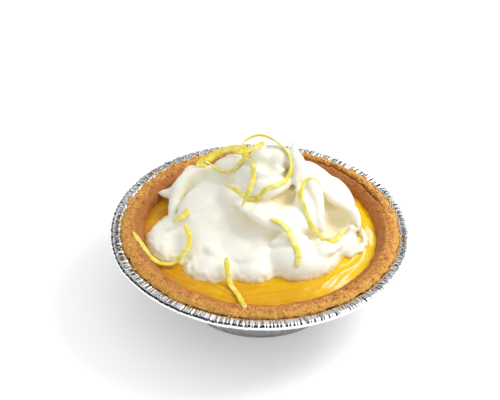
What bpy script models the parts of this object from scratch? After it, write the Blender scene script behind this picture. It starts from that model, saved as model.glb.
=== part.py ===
"""A small lemon meringue pie in its own foil tin.

A crumb crust lines a pleated foil tin, lemon filling lies in the crust, and a heap of soft
whipped meringue sits on the filling with curls of lemon zest over it.
The origin is the middle of the tin's base, +Z is up and +Y is the back of the pie.
"""
import math

import bmesh
import bpy
from mathutils import Matrix, Vector, noise
from mathutils.bvhtree import BVHTree

MM = 0.001
MERGE = 0.00001

# Driving dimensions, in millimetres.
GAP = 0.3
FOIL = 0.4
RIM_RADIUS = 50.0
RIM_HEIGHT = 25.7
RIM_DROP = 1.9
FLANGE = 4.3
BASE_RADIUS = 26.5
PLEATS = 32
PLEAT_DEPTH = 0.25
CRIMP_DEPTH = 0.12
CRUST_OUTSET = 1.4
CRUST_WALL = 4.9
CRUST_FLOOR = 4.8
CRUST_BASE = 0.9
CRUST_CREST = 27.0
CRUST_LIP = 46.0
FILLING_LEVEL = 23.4
RIPPLE = 0.25
MERINGUE_BASE = FILLING_LEVEL + RIPPLE + GAP
MERINGUE_GRAIN = 0.9
MERINGUE_FACES = 3400
ZEST_THICKNESS = 0.55

TURN_STEPS = 2 * PLEATS
FILLING_STEPS = 40

# Each swipe of meringue: the points that its middle passes through, its half width and half
# height at start, middle and end, and how far it leans about its own path, in degrees.
SWIPES = [
    # The heap's core, in two tiers.
    ([(-27, 1, 22), (0, -1, 24), (28, 0, 22)], (13, 20, 14), (6, 7.5, 6), 0),
    ([(-15, 9, 29), (0, 10, 32), (15, 10, 28)], (9, 12, 9), (8, 9, 7), 0),
    # The broad slope that falls from the top to the front left.
    ([(-12, 15, 36), (-17, 6, 31), (-20, -6, 26), (-20, -19, 23.5)], (6, 9, 7), (4, 5, 3.5), 0),
    ([(-29, 13, 25), (-20, 18, 27), (-8, 20, 28)], (5, 8, 8), (4, 6, 7), 0),
    ([(-17, 20, 34), (-24, 14, 30.5), (-29, 6, 27.5)], (3, 4.5, 3), (3.5, 5, 3), 0),
    ([(-20, 23, 30), (-25, 22, 28.5), (-29, 19, 26)], (5, 5, 3), (4, 4, 3), 0),
    ([(-22, 16, 28), (-29, 16, 26.5), (-36, 16.5, 25.5)], (4, 3.5, 1.5), (3, 2.2, 0.8), 0),
    # The left lobe and the rolls along the front edge.
    ([(-28, 7, 25), (-31, -4, 25), (-28, -15, 24.5)], (5, 6.5, 5), (3.5, 4.5, 3.5), 0),
    ([(-24, -16, 24), (-13, -17, 25.5), (-4, -20, 25)], (5, 7, 5), (3.5, 4.5, 4), 0),
    ([(-8, -20, 24.5), (-3, -21.5, 24.5), (3, -19, 24.5)], (4, 5, 4), (3.5, 4, 3), 0),
    ([(0, -15, 25), (13, -15.5, 26), (25, -12, 25.5)], (7, 9, 8), (5, 6.5, 5), 0),
    ([(21, -13, 25), (29, -6, 25.5), (31, 2, 25.5)], (5, 5.5, 4), (4, 4, 2.5), 0),
    # The tongue of the middle tier, drooping over the front.
    ([(-11, 5, 32), (-3, 0, 32.5), (7, -3.5, 31.5), (17, -4, 29.5)], (5, 7, 6), (3.5, 5, 4), 0),
    # The swirled peak and its left shoulder.
    ([(-11, 13, 38), (-4, 7.5, 37), (5, 8, 37.5), (11, 14, 39.5)], (4, 5, 4), (4.5, 5, 4.5), 0),
    ([(-9, 15, 40), (0, 19, 42), (7, 17, 43.5), (11.5, 18, 47)], (4, 5, 1.2), (4, 5, 1.5), 0),
    ([(-5, 13, 39), (1, 14, 41.5), (2, 18, 44.5)], (5, 4.5, 2), (4, 4, 3), 0),
    ([(-17, 14, 35), (-12, 16, 37.5), (-5, 16, 40)], (4, 5, 4), (4, 4, 4), 0),
    # The right lobe: a standing ridge, the outer roll and its tail.
    ([(13, 18, 33), (17, 12, 34), (20, 4, 32), (22, -5, 28)], (4, 4, 3), (4, 5, 3.5), 0),
    ([(21, 21, 29), (28, 15, 28), (31, 8, 27.5), (31, 0, 25.5)], (5, 5, 3.5), (4, 4.5, 3), 0),
    ([(7, 21, 34), (15, 23, 30.5), (24, 26, 27)], (5, 6, 3), (5, 5, 3), 0),
]

# Each strip of zest: the points that its middle passes through, its width and its lean about
# its own path. Where a point is lower than the meringue or the crust, the strip lies on it.
ZEST = [
    ("zest_stub", [(-28.5, -4, 30), (-26.5, -3.5, 31), (-25, -1.5, 31), (-24, 1.5, 31)], 1.8, 0),
    ("zest_left_curl", [(-24.5, -5.5, 30), (-23, -10, 29), (-23, -14, 28), (-24.5, -17, 27),
                        (-27, -19, 25), (-30, -19.5, 24.5), (-33, -18.5, 24.5),
                        (-36, -15.5, 25), (-39, -11, 26), (-41.5, -6.5, 27)], 1.6, 0),
    ("zest_small_loop", [(-19.5, 20, 37), (-17, 20, 39), (-13.5, 22, 41), (-8.5, 22, 42.5),
                         (-5.5, 20, 42.5), (-7.5, 14.5, 40.5), (-12, 13, 38.5),
                         (-16, 16.5, 38), (-18, 17, 40)], 1.7, 0),
    ("zest_drop", [(-6.5, 17, 44.5), (-3, 10.5, 43.5), (-2.5, 6.5, 42), (-4, -1, 41),
                   (-6, -2, 36)], 1.5, 0),
    ("zest_big_loop", [(-12, 8, 37), (-7, 3, 36), (-1, 1.5, 36), (5.5, 4, 38), (9.5, 9, 42),
                       (9.5, 13, 44.5), (7, 16, 47), (2.5, 18.5, 49), (-1.5, 18.5, 50),
                       (-5.5, 16, 49.5), (-7.5, 12, 48)], 1.5, 35),
    ("zest_top", [(-8, 7.5, 50), (-3.5, 9.5, 50.5), (0.5, 13.5, 50.5)], 1.9, 0),
    ("zest_tag", [(-20.5, 21, 33), (-20.5, 24, 34), (-19, 26, 35.5)], 3.2, 0),
    ("zest_right_loop", [(20, 10, 34), (17.5, 11.5, 36.5), (14.5, 10, 36.5), (13, 3.5, 34.5),
                         (15.5, -3.5, 31.5), (20, -9.5, 29.5), (22.5, -12, 29.5),
                         (24.5, -11.5, 30), (28, -5.5, 30.5)], 1.6, 20),
    ("zest_middle", [(3.5, -7.5, 35), (8, -10, 34), (11, -15, 31), (12.5, -19.5, 29),
                     (12, -23, 27)], 1.9, 0),
    ("zest_front", [(-10.5, -21, 29), (-10, -25, 27), (-9, -28, 24), (-6.5, -33, 24),
                    (-5, -38, 25), (-4, -43, 27)], 1.7, 0),
]


def remove_startup_objects():
    for item in list(bpy.data.objects):
        bpy.data.objects.remove(item)


def collection(name):
    made = bpy.data.collections.new(name)
    bpy.context.scene.collection.children.link(made)
    return made


def finish(name, colour, roughness, metallic=0.0):
    made = bpy.data.materials.new(name)
    made.use_nodes = True
    shader = made.node_tree.nodes["Principled BSDF"]
    shader.inputs["Base Color"].default_value = (*colour, 1.0)
    shader.inputs["Roughness"].default_value = roughness
    shader.inputs["Metallic"].default_value = metallic
    return made


def settled_mesh(item):
    """The mesh that the object's modifiers make, as a mesh of its own."""
    graph = bpy.context.evaluated_depsgraph_get()
    return bpy.data.meshes.new_from_object(item.evaluated_get(graph))


def add_object(name, mesh, material, group):
    mesh.materials.clear()
    mesh.materials.append(material)
    item = bpy.data.objects.new(name, mesh)
    group.objects.link(item)
    return item


def turned_mesh(name, profile, steps, group):
    """A profile in millimetres at +X, turned about Z; it runs down the outer side."""
    mesh = bpy.data.meshes.new(name)
    points = [(radius * MM, 0.0, height * MM) for radius, height in profile]
    mesh.from_pydata(points, [(i, i + 1) for i in range(len(points) - 1)], [])
    item = bpy.data.objects.new(name + "_profile", mesh)
    group.objects.link(item)
    screw = item.modifiers.new("turn", "SCREW")
    screw.steps = steps
    screw.render_steps = steps
    screw.use_merge_vertices = True
    screw.merge_threshold = MERGE
    made = settled_mesh(item)
    bpy.data.objects.remove(item)
    return made


def smooth_shading(mesh, sharp_degrees):
    mesh.shade_smooth()
    mesh.set_sharp_from_angle(angle=math.radians(sharp_degrees))

def along(values, t):
    """A smooth value at t, from 0 to 1, through evenly spaced numbers or vectors."""
    spans = len(values) - 1
    place = min(max(t, 0.0), 1.0) * spans
    first = min(int(place), spans - 1)
    local = place - first
    before = values[max(first - 1, 0)]
    start = values[first]
    end = values[first + 1]
    after = values[min(first + 2, spans)]
    slope_in = (end - before) * 0.5
    slope_out = (after - start) * 0.5
    cube = local ** 3
    square = local ** 2
    return (start * (2 * cube - 3 * square + 1) + slope_in * (cube - 2 * square + local)
            + end * (3 * square - 2 * cube) + slope_out * (cube - square))


def path_frame(path, t, lean):
    """The middle of the path at t, with the directions to its side and up from it."""
    step = 0.01
    tangent = (along(path, t + step) - along(path, t - step)).normalized()
    side = tangent.cross(Vector((0.0, 0.0, 1.0)))
    if side.length < 0.05:
        side = Vector((1.0, 0.0, 0.0))
    side.normalize()
    turn = Matrix.Rotation(math.radians(lean), 3, tangent)
    side = turn @ side
    return along(path, t), side, side.cross(tangent)


def add_swipe(heap, path, widths, heights, lean):
    """A spindle of meringue: a ball whose poles are the two ends of the path."""
    path = [Vector(point) for point in path]
    ball = bmesh.ops.create_uvsphere(heap, u_segments=24, v_segments=28, radius=1.0)
    for vertex in ball["verts"]:
        around = math.hypot(vertex.co.x, vertex.co.y)
        t = math.atan2(around, -vertex.co.z) / math.pi
        swell = math.sin(math.pi * t) ** 0.6
        middle, side, up = path_frame(path, t, lean)
        if around > 0.0001:
            across = vertex.co.x / around * along(widths, t) * swell
            above = vertex.co.y / around * along(heights, t) * swell
        else:
            across = 0.0
            above = 0.0
        vertex.co = (middle + side * across + up * above) * MM


def cut_flat(mesh, level):
    """Cuts the mesh off below the level and closes it with a flat face."""
    solid = bmesh.new()
    solid.from_mesh(mesh)
    everything = solid.verts[:] + solid.edges[:] + solid.faces[:]
    cut = bmesh.ops.bisect_plane(solid, geom=everything, plane_co=(0, 0, level),
                                 plane_no=(0, 0, 1), clear_inner=True)
    rim = [item for item in cut["geom_cut"] if isinstance(item, bmesh.types.BMEdge)]
    bmesh.ops.holes_fill(solid, edges=rim)
    bmesh.ops.triangulate(solid, faces=solid.faces[:])
    bmesh.ops.dissolve_degenerate(solid, dist=MERGE, edges=solid.edges[:])
    bmesh.ops.recalc_face_normals(solid, faces=solid.faces[:])
    solid.to_mesh(mesh)
    solid.free()


def make_meringue(group):
    heap = bmesh.new()
    for path, widths, heights, lean in SWIPES:
        add_swipe(heap, path, widths, heights, lean)
    bmesh.ops.recalc_face_normals(heap, faces=heap.faces[:])
    mesh = bpy.data.meshes.new("meringue_swipes")
    heap.to_mesh(mesh)
    heap.free()
    rough = bpy.data.objects.new("meringue_swipes", mesh)
    group.objects.link(rough)
    remesh = rough.modifiers.new("one_body", "REMESH")
    remesh.mode = "VOXEL"
    remesh.voxel_size = MERINGUE_GRAIN * MM
    soften = rough.modifiers.new("soften", "SMOOTH")
    soften.iterations = 3
    thin = rough.modifiers.new("fewer_faces", "DECIMATE")
    thin.ratio = MERINGUE_FACES / len(settled_mesh(rough).polygons) / 2
    solid = settled_mesh(rough)
    bpy.data.objects.remove(rough)
    cut_flat(solid, MERINGUE_BASE * MM)
    smooth_shading(solid, 60)
    material = finish("meringue", (0.93, 0.91, 0.85), 0.45)
    return add_object("meringue", solid, material, group)


def make_tin(group):
    wall_top = (RIM_RADIUS - FLANGE - 0.2, RIM_HEIGHT - 1.2)
    outer = RIM_RADIUS - FOIL / 2
    crest = RIM_HEIGHT - FOIL / 2
    profile = [
        (outer - 1.4, crest - RIM_DROP + 0.6),
        (outer - 0.9, crest - RIM_DROP + 0.15),
        (outer - 0.3, crest - RIM_DROP + 0.35),
        (outer, crest - RIM_DROP + 1.0),
        (outer - 0.3, crest - 0.3),
        (outer - 1.1, crest),
        (outer - 2.5, crest),
        (outer - 3.6, crest - 0.3),
        wall_top,
        (wall_top[0] - 0.9, wall_top[1] - 1.2),
        (BASE_RADIUS + 0.7 + 0.7, 2.3),
        (BASE_RADIUS, FOIL / 2 + 0.3),
        (BASE_RADIUS - 1.1, FOIL / 2),
        (0.0, FOIL / 2),
    ]
    mesh = turned_mesh("foil_tin", profile, TURN_STEPS, group)
    for vertex in mesh.vertices:
        radius = math.hypot(vertex.co.x, vertex.co.y) / MM
        height = vertex.co.z / MM
        fold = math.cos(PLEATS * math.atan2(vertex.co.y, vertex.co.x))
        on_wall = 2.0 < height < wall_top[1] - 0.6
        if on_wall:
            stretch = 1.0 + PLEAT_DEPTH * fold / radius
            vertex.co.x *= stretch
            vertex.co.y *= stretch
        elif radius > wall_top[0] + 0.5:
            vertex.co.z += CRIMP_DEPTH * fold * MM
    material = finish("foil_tin", (0.78, 0.79, 0.80), 0.28, metallic=1.0)
    tin = add_object("foil_tin", mesh, material, group)
    foil = tin.modifiers.new("foil", "SOLIDIFY")
    foil.thickness = FOIL * MM
    foil.offset = 0.0
    return tin


def make_crust(group):
    outer_foot = BASE_RADIUS - CRUST_OUTSET + 0.8
    outer_top = CRUST_LIP - 2.0
    profile = [
        (0.0, CRUST_FLOOR),
        (outer_foot - 3.4, CRUST_FLOOR),
        (outer_foot - 1.7, CRUST_FLOOR + 0.6),
        (outer_top - CRUST_WALL, FILLING_LEVEL - 0.2),
        (CRUST_LIP - 5.4, CRUST_CREST - 1.4),
        (CRUST_LIP - 4.2, CRUST_CREST - 0.5),
        (CRUST_LIP - 2.6, CRUST_CREST),
        (CRUST_LIP - 1.0, CRUST_CREST - 0.2),
        (CRUST_LIP - 0.1, CRUST_CREST - 0.6),
        (CRUST_LIP - 0.2, CRUST_CREST - 1.0),
        (CRUST_LIP - 1.3, CRUST_CREST - 1.6),
        (outer_top - 0.1, CRUST_CREST - 2.8),
        (outer_foot, CRUST_BASE + 0.8),
        (outer_foot - 0.9, CRUST_BASE),
        (0.0, CRUST_BASE),
    ]
    mesh = turned_mesh("crumb_crust", profile, TURN_STEPS, group)
    lip_floor = (CRUST_CREST - 1.5) * MM
    for vertex in mesh.vertices:
        inner_side = math.hypot(vertex.co.x, vertex.co.y) < (CRUST_LIP - 0.6) * MM
        if vertex.co.z > lip_floor and inner_side:
            lump = noise.noise(vertex.co / (3.5 * MM))
            vertex.co.z += 0.45 * lump * MM
            vertex.co.x *= 1.0 + 0.008 * lump
            vertex.co.y *= 1.0 + 0.008 * lump
    smooth_shading(mesh, 50)
    material = finish("crumb_crust", (0.62, 0.31, 0.11), 0.85)
    return add_object("crumb_crust", mesh, material, group)


def make_filling(group):
    crust_foot = BASE_RADIUS - CRUST_OUTSET + 0.8
    crust_top = CRUST_LIP - 2.0 - CRUST_WALL
    bottom = CRUST_FLOOR + GAP + 0.05
    profile = [
        (0.0, FILLING_LEVEL),
        (20.0, FILLING_LEVEL),
        (29.0, FILLING_LEVEL - RIPPLE),
        (31.5, FILLING_LEVEL + RIPPLE),
        (33.5, FILLING_LEVEL - RIPPLE),
        (35.5, FILLING_LEVEL + RIPPLE * 0.6),
        (37.4, FILLING_LEVEL - RIPPLE),
        (crust_top - 0.6, FILLING_LEVEL - 0.4),
        (crust_foot - 2.2, bottom + 0.6),
        (crust_foot - 3.6, bottom),
        (0.0, bottom),
    ]
    mesh = turned_mesh("lemon_filling", profile, FILLING_STEPS, group)
    smooth_shading(mesh, 40)
    material = finish("lemon_filling", (0.95, 0.52, 0.02), 0.25)
    return add_object("lemon_filling", mesh, material, group)


def surface_below(solids):
    """The surfaces that a strip of zest can lie on, ready to be probed from above."""
    found = []
    for item in solids:
        mesh = settled_mesh(item)
        corners = [vertex.co.copy() for vertex in mesh.vertices]
        faces = [tuple(face.vertices) for face in mesh.polygons]
        found.append(BVHTree.FromPolygons(corners, faces))
    return found


def ground_height(surfaces, x, y, reach):
    """The highest surface within reach of a place in plan, in millimetres."""
    best = FILLING_LEVEL
    down = Vector((0.0, 0.0, -1.0))
    for across, along_y in ((0, 0), (reach, 0), (-reach, 0), (0, reach), (0, -reach)):
        above = Vector(((x + across) * MM, (y + along_y) * MM, 0.2))
        for tree in surfaces:
            hit = tree.ray_cast(above, down)[0]
            if hit is not None:
                best = max(best, hit.z / MM)
    return best


def make_zest(name, route, width, lean, surfaces, group):
    """A flat strip of peel that follows its route and stays clear of what is under it."""
    strip = bmesh.new()
    bmesh.ops.create_cube(strip, size=1.0)
    long_edges = [edge for edge in strip.edges
                  if abs(edge.verts[0].co.x - edge.verts[1].co.x) > 0.5]
    cuts = 4 * (len(route) - 1)
    bmesh.ops.subdivide_edges(strip, edges=long_edges, cuts=cuts, use_grid_fill=True)
    route = [Vector(point) for point in route]
    clearance = GAP + ZEST_THICKNESS / 2 + 0.15
    lifted = [along(route, step / (cuts + 1)) for step in range(cuts + 2)]
    floors = [ground_height(surfaces, point.x, point.y, width / 2 + GAP) for point in lifted]
    for step, point in enumerate(lifted):
        floor = max(floors[max(step - 1, 0):step + 2])
        point.z = max(point.z, floor + clearance)
    for vertex in strip.verts:
        t = vertex.co.x + 0.5
        taper = 0.55 + 0.45 * min(1.0, math.sin(math.pi * t) * 3.0)
        middle, side, up = path_frame(lifted, t, lean)
        across = vertex.co.y * width * taper
        above = vertex.co.z * ZEST_THICKNESS
        vertex.co = (middle + side * across + up * above) * MM
    bmesh.ops.triangulate(strip, faces=strip.faces[:])
    bmesh.ops.recalc_face_normals(strip, faces=strip.faces[:])
    mesh = bpy.data.meshes.new(name)
    strip.to_mesh(mesh)
    strip.free()
    smooth_shading(mesh, 40)
    material = finish(name, (0.90, 0.75, 0.05), 0.5)
    return add_object(name, mesh, material, group)


def main():
    remove_startup_objects()
    pie = collection("lemon_meringue_pie")
    make_tin(pie)
    crust = make_crust(pie)
    filling = make_filling(pie)
    meringue = make_meringue(pie)
    bpy.context.view_layer.update()
    surfaces = surface_below([crust, filling, meringue])
    for name, route, width, lean in ZEST:
        strip = make_zest(name, route, width, lean, surfaces, pie)
        surfaces += surface_below([strip])


main()
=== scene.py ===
# %% [markdown]
# # A small lemon meringue pie in its foil tin
#
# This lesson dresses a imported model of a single-serving pie. The model gives the sizes: a foil
# tin, a crumb crust, a lemon filling, a heap of soft meringue and ten strips of lemon zest.
# Each plain solid gets a finer piece made round its size, with folds, crumb and ripples as
# real mesh, and a finish made from shader nodes. Only the finished looks are made here, so no
# size is changed: every length below is in millimetres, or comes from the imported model.

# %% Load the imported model
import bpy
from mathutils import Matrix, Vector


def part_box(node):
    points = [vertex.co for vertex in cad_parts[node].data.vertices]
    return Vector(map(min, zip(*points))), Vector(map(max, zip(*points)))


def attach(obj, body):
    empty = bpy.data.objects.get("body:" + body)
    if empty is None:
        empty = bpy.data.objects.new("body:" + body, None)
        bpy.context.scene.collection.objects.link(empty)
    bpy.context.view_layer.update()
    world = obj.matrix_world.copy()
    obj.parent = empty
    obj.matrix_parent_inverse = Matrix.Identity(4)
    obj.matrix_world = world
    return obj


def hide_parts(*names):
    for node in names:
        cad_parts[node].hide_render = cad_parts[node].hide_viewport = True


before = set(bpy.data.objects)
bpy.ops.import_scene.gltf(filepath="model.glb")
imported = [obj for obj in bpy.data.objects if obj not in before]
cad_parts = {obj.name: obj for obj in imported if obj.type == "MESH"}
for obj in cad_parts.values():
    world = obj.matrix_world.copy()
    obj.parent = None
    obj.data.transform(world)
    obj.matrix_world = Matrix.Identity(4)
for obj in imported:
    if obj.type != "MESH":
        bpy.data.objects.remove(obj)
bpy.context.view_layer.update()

# %% Blender's modules and the sizes that the pieces share
import math
import random

import bmesh
import bpy
import numpy as np
from mathutils import Matrix, Vector, noise
from mathutils.bvhtree import BVHTree

MM = 0.001
rim_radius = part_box("foil_tin")[1].x / MM
rim_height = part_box("foil_tin")[1].z / MM
crust_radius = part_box("crumb_crust")[1].x / MM
crust_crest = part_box("crumb_crust")[1].z / MM
filling_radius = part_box("lemon_filling")[1].x / MM
filling_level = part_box("lemon_filling")[1].z / MM - 0.25
print("rim", round(rim_radius, 1), "crust", round(crust_radius, 1), "filling level",
      round(filling_level, 1))

# %% [markdown]
# ## Helpers for the mesh
#
# Most pieces here are either turned, like the tin and the crust, or drawn along a path, like
# the swipes of meringue and the strips of zest. A turned piece starts as a thin wire profile
# which `bmesh.ops.spin` sweeps round the middle of the pie. A drawn piece starts as a ball or
# a bar, and each of its points is moved to its place beside a smooth path. Both ways keep the
# faces even, so that the fine folds and grains can be pushed into them afterwards.

# %% Keep a mesh as a finished piece
def keep_piece(name, shape, slot, *nodes, sharp=60):
    """Writes the bmesh out as a piece that rides on the pie and stands for the CAD nodes."""
    if shape.calc_volume(signed=True) < 0:
        bmesh.ops.reverse_faces(shape, faces=shape.faces[:])
    mesh = bpy.data.meshes.new(name)
    shape.to_mesh(mesh)
    shape.free()
    mesh.shade_smooth()
    if sharp < 180:
        mesh.set_sharp_from_angle(angle=math.radians(sharp))
    piece = bpy.data.objects.new(name, mesh)
    bpy.context.scene.collection.objects.link(piece)
    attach(piece, "root")
    if nodes:
        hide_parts(*nodes)
    print(name, len(mesh.polygons), "faces")
    return piece


# %% Turn a profile round the middle of the pie
def turn_profile(profile, steps):
    """Spins a wire of (radius, height) points round +Z; it may start or end on the axis."""
    shape = bmesh.new()
    corners = [shape.verts.new((radius * MM, 0, height * MM)) for radius, height in profile]
    wire = [shape.edges.new(pair) for pair in zip(corners, corners[1:])]
    bmesh.ops.spin(shape, geom=corners + wire, cent=(0, 0, 0), axis=(0, 0, 1),
                   angle=2 * math.pi, steps=steps, use_merge=True, use_duplicate=False)
    bmesh.ops.remove_doubles(shape, verts=shape.verts[:], dist=0.001 * MM)
    return shape


# %% Add even points along a profile
def fine_profile(profile, spacing):
    """Cuts the straight runs of a profile into steps of about the spacing."""
    points = [profile[0]]
    for (r0, z0), (r1, z1) in zip(profile, profile[1:]):
        cuts = max(1, round(math.hypot(r1 - r0, z1 - z0) / spacing))
        points += [(r0 + (r1 - r0) * i / cuts, z0 + (z1 - z0) * i / cuts)
                   for i in range(1, cuts + 1)]
    return points


# %% Read a smooth value or a smooth path
def along(values, t):
    """A smooth value at t, from 0 to 1, through evenly spaced numbers or vectors."""
    spans = len(values) - 1
    place = min(max(t, 0.0), 1.0) * spans
    first = min(int(place), spans - 1)
    local = place - first
    start, end = values[first], values[first + 1]
    slope_in = (end - values[max(first - 1, 0)]) * 0.5
    slope_out = (values[min(first + 2, spans)] - start) * 0.5
    cube, square = local ** 3, local ** 2
    return (start * (2 * cube - 3 * square + 1) + slope_in * (cube - 2 * square + local)
            + end * (3 * square - 2 * cube) + slope_out * (cube - square))


def path_frame(path, t, lean):
    """The middle of the path at t, with the directions to its side and up from it."""
    step = 0.01
    tangent = (along(path, t + step) - along(path, t - step)).normalized()
    side = tangent.cross(Vector((0, 0, 1)))
    if side.length < 0.05:
        side = Vector((1, 0, 0))
    side = Matrix.Rotation(math.radians(lean), 3, tangent) @ side.normalized()
    return along(path, t), side, side.cross(tangent)


def smooth_step(value, low, high):
    """0 below low, 1 above high and a soft rise between them."""
    part = min(max((value - low) / (high - low), 0.0), 1.0)
    return part * part * (3 - 2 * part)


def grain(point, size, seed=0.0):
    """Soft noise from -1 to 1 whose lumps are about size millimetres across."""
    return noise.noise(point / (size * MM) + Vector((seed, seed * 1.7, seed * 0.3)))

# %% [markdown]
# ## Helpers for the finishes
#
# Food is never one flat colour, so each finish mixes two or three close colours by soft noise
# that is read from Object coordinates. The bump is kept faint on wet and creamy things, since
# fine bump makes them look dry, and it is stronger only on the crumb.

# %% Nodes: short ways to add them
class Nodes:
    """A node tree with short ways to add nodes to it."""

    def __init__(self, tree):
        self.tree = tree

    def add(self, kind, links=None, **values):
        """A new node with its settings, its sockets' values and the links that feed it."""
        node = self.tree.nodes.new(kind)
        for key, value in values.items():
            if hasattr(node, key):
                setattr(node, key, value)
            else:
                node.inputs[key.replace("_", " ")].default_value = value
        for socket, source in (links or {}).items():
            self.tree.links.new(source, node.inputs[socket])
        return node

    def ramp(self, value, low, high, start=0.0, end=1.0):
        """The value spread so that low becomes start and high becomes end."""
        node = self.add("ShaderNodeMapRange", {"Value": value})
        node.interpolation_type = "SMOOTHSTEP"
        for socket, number in zip(("From Min", "From Max", "To Min", "To Max"),
                                  (low, high, start, end)):
            node.inputs[socket].default_value = number
        return node.outputs["Result"]

    def fill(self, socket, value):
        """Puts a number or a colour on a socket, or links another node's output to it."""
        if isinstance(value, tuple):
            socket.default_value = (*value, 1)
        elif isinstance(value, float):
            socket.default_value = value
        else:
            self.tree.links.new(value, socket)

    def mix(self, amount, first, second):
        """A mix of two numbers; each is a number or another node's output."""
        node = self.add("ShaderNodeMix", {0: amount})
        self.fill(node.inputs[2], first)
        self.fill(node.inputs[3], second)
        return node.outputs[0]

    def blend(self, amount, first, second):
        """A mix of two colours; each is a colour or another node's output."""
        node = self.add("ShaderNodeMix", {0: amount}, data_type="RGBA")
        self.fill(node.inputs[6], first)
        self.fill(node.inputs[7], second)
        return node.outputs[2]


# %% Start a finish
class Finish(Nodes):
    """A material with its Principled shader, which reads its noise from Object coordinates."""

    def __init__(self, name, **sockets):
        self.material = bpy.data.materials.new(name)
        self.material.use_nodes = True
        super().__init__(self.material.node_tree)
        self.shader = self.tree.nodes["Principled BSDF"]
        self.place = self.add("ShaderNodeTexCoord").outputs["Object"]
        for socket, value in sockets.items():
            self.shader.inputs[socket.replace("_", " ")].default_value = value

    def axis(self, letter):
        """The place along X, Y or Z, in metres."""
        return self.add("ShaderNodeSeparateXYZ", {"Vector": self.place}).outputs[letter]

    def stored(self, layer):
        """A value from 0 to 1 that the mesh keeps for each of its points."""
        return self.add("ShaderNodeAttribute", attribute_name=layer).outputs["Fac"]

    def noise(self, size, detail=2.0, distortion=0.0):
        """Noise whose lumps are about size millimetres across, as a value from 0 to 1."""
        node = self.add("ShaderNodeTexNoise", {"Vector": self.place}, Scale=1000 / size,
                        Detail=detail, Distortion=distortion)
        return node.outputs["Fac"]

    def use(self, socket, source):
        """Feeds one of the shader's sockets from another node's output."""
        self.tree.links.new(source, self.shader.inputs[socket])

    def bump(self, height, distance, strength=1.0):
        """Small relief, with its height in millimetres."""
        node = self.add("ShaderNodeBump", {"Height": height}, Strength=strength,
                        Distance=distance * MM)
        self.use("Normal", node.outputs["Normal"])


def wear(piece, finish):
    """Puts the finish on a piece, in place of whatever it had."""
    piece.data.materials.clear()
    piece.data.materials.append(finish.material)
    print(piece.name, "wears", finish.material.name)

# %% [markdown]
# ## The foil tin
#
# The real tin is pressed from one sheet of foil about a tenth of a millimetre thick. Its wall
# takes up the spare metal in shallow pleats, and its edge is rolled outwards over a bead and
# crimped all the way round. The pleats could be painted on as bump, but their edge shows
# against the floor, so here they are folds in the mesh: the profile is turned finely, and
# each point of the rim and the wall is then pushed in or out by where it is round the tin.
# The finish is one metal, bright on the rolled rim and darkened by painted shade on the wall below
# the bead.

# %% Foil: sizes and the turned sheet
foil_steps = 1200
foil_thickness = 0.14
bead = rim_radius - 0.3
crest = rim_height - 0.3
base_radius = 26.5
crimps, fine_crimps, pleats, dents = 130, 290, 58, 9
foil_profile = (
    [(bead - 1.5, crest - 1.6), (bead - 1.2, crest - 2.05), (bead - 0.6, crest - 2.15)]
    + [(bead - 0.95 + 0.95 * math.cos(math.radians(angle)),
        crest - 1.1 + 1.1 * math.sin(math.radians(angle))) for angle in range(-60, 91, 15)]
    + fine_profile([(bead - 1.6, crest), (bead - 2.9, crest - 0.05)], 0.45)
    + [(bead - 3.6, crest - 0.35), (bead - 4.1, crest - 0.9)]
    + fine_profile([(bead - 4.5, crest - 1.5), (base_radius + 0.8, 1.7)], 4)
    + [(base_radius + 0.3, 0.7), (base_radius - 0.4, 0.25), (base_radius - 1.6, 0.12),
       (14, 0.12), (0, 0.12)]
)
foil = turn_profile(foil_profile, foil_steps)
print("foil profile points:", len(foil_profile))

# %% Foil: crimps on the rim and pleats in the wall
def crease(angle, count, seed):
    """Uneven sharp folds round the tin: 0 in a crease and 1 on the flat between two."""
    ring = Vector((math.cos(angle), math.sin(angle), seed))
    wander = 1.6 * noise.noise(ring * 9) + 1.1 * noise.noise(ring * 31)
    return abs(math.sin(count * angle / 2 + wander))


for vert in foil.verts:
    radius = math.hypot(vert.co.x, vert.co.y) / MM
    height = vert.co.z / MM
    if radius < 1:
        continue
    angle = math.atan2(vert.co.y, vert.co.x)
    ring = Vector((math.cos(angle), math.sin(angle), 0.5))
    on_rim = smooth_step(radius, bead - 4.6, bead - 2.6)
    on_wall = smooth_step(height, 1.2, 6) * (1 - smooth_step(height, crest - 3.5, crest - 1.2))
    fold = crease(angle, crimps, 1.0) ** 0.6
    small = crease(angle, fine_crimps, 4.0) ** 0.6
    uneven = 1 + 0.8 * noise.noise(ring * 14)
    lump = noise.noise(ring * 22 + Vector((0, 0, height / 3)))
    lift = on_rim * (uneven * (0.36 * (fold - 0.7) + 0.30 * (small - 0.7)) + 0.2 * lump)
    push = on_rim * (0.24 * (fold - 0.75) + 0.18 * (small - 0.7))
    push += on_rim * 0.35 * noise.noise(ring * 3.1)
    push += on_wall * (-0.35 * (1 - crease(angle, pleats, 7.0)) ** 3 + 0.12 * lump)
    push -= on_wall * 0.5 * (1 - crease(angle, dents, 2.3)) ** 14
    vert.co.z += lift * MM
    vert.co.x += push * MM * math.cos(angle)
    vert.co.y += push * MM * math.sin(angle)
bmesh.ops.recalc_face_normals(foil, faces=foil.faces[:])
foil_tin = keep_piece("foil_tin_sheet", foil, "foil", "foil_tin", sharp=180)
sheet = foil_tin.modifiers.new("foil", "SOLIDIFY")
sheet.thickness = foil_thickness * MM
sheet.offset = 0
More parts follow.
